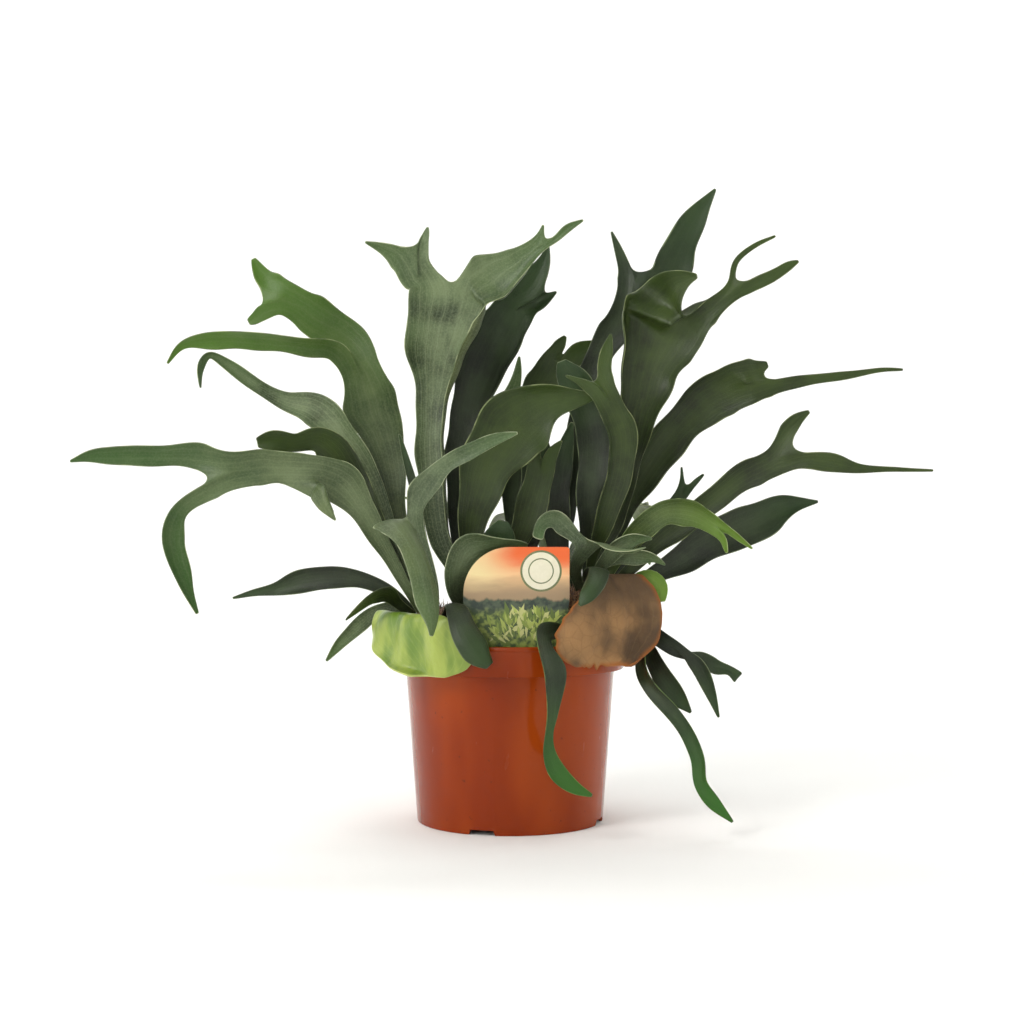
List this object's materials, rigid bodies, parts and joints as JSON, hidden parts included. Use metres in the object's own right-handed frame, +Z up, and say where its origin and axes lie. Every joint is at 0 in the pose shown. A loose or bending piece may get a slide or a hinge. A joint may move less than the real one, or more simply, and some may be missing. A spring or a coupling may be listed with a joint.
{
  "type": "staghorn fern in a nursery pot",
  "caption": "Potted staghorn fern with antler-shaped forking fronds, shield fronds draped over the rim and a plain plant label in a round nursery pot.",
  "frame": {"origin": "centre of the pot's flat base disc, on the pot's axis, where the pot stands", "axes": "+Z up the pot's axis, +X across the widest spread of the fronds towards the plant's right as seen from the front, -Y towards the front where the label stands"},
  "size_m": [0.6684, 0.3473, 0.5176],
  "materials": {
    "terracotta_plastic": "glossy moulded terracotta-orange polypropylene",
    "potting_soil": "dark damp peat potting mix",
    "printed_label": "thin printed plastic card, warm sky over green leaves",
    "rhizome_scales": "dry brown hairy scales",
    "felty_frond": "matt grey-green frond with a pale felty bloom",
    "dark_frond": "matt dark blue-green frond",
    "green_shield": "smooth yellow-green shield frond",
    "papery_shield": "dead papery tan shield frond"
  },
  "bodies": {
    "root": {"frond_back_olive": "felty_frond", "frond_back_under": "felty_frond", "frond_centre_broad": "felty_frond", "frond_centre_dark": "dark_frond", "frond_centre_tall": "felty_frond", "frond_droop_broad": "dark_frond", "frond_droop_fork": "dark_frond", "frond_droop_long": "dark_frond", "frond_front_dark": "dark_frond", "frond_front_fork": "felty_frond", "frond_front_right": "felty_frond", "frond_front_round": "felty_frond", "frond_front_wavy": "felty_frond", "frond_hanging": "dark_frond", "frond_left_arch": "felty_frond", "frond_left_curl": "felty_frond", "frond_left_droop": "felty_frond", "frond_left_long": "felty_frond", "frond_left_middle": "felty_frond", "frond_left_short": "felty_frond", "frond_left_spear": "felty_frond", "frond_mid_dark": "dark_frond", "frond_mid_right": "felty_frond", "frond_rear_droop": "dark_frond", "frond_rear_left": "felty_frond", "frond_rear_middle": "felty_frond", "frond_rear_right": "felty_frond", "frond_rear_upright": "felty_frond", "frond_right_back": "felty_frond", "frond_right_curl": "felty_frond", "frond_right_lime": "felty_frond", "frond_right_long": "felty_frond", "frond_right_spear": "dark_frond", "frond_right_spikes": "felty_frond", "frond_right_tall": "felty_frond", "frond_right_wide": "felty_frond", "nursery_pot": "terracotta_plastic", "plant_label": "printed_label", "potting_soil": "potting_soil", "rhizome_back": "rhizome_scales", "rhizome_left": "rhizome_scales", "rhizome_middle": "rhizome_scales", "rhizome_right": "rhizome_scales", "shield_frond_brown": "papery_shield", "shield_frond_green": "green_shield", "shield_frond_lime": "green_shield", "shield_frond_rear": "papery_shield"}
  },
  "joints": []
}
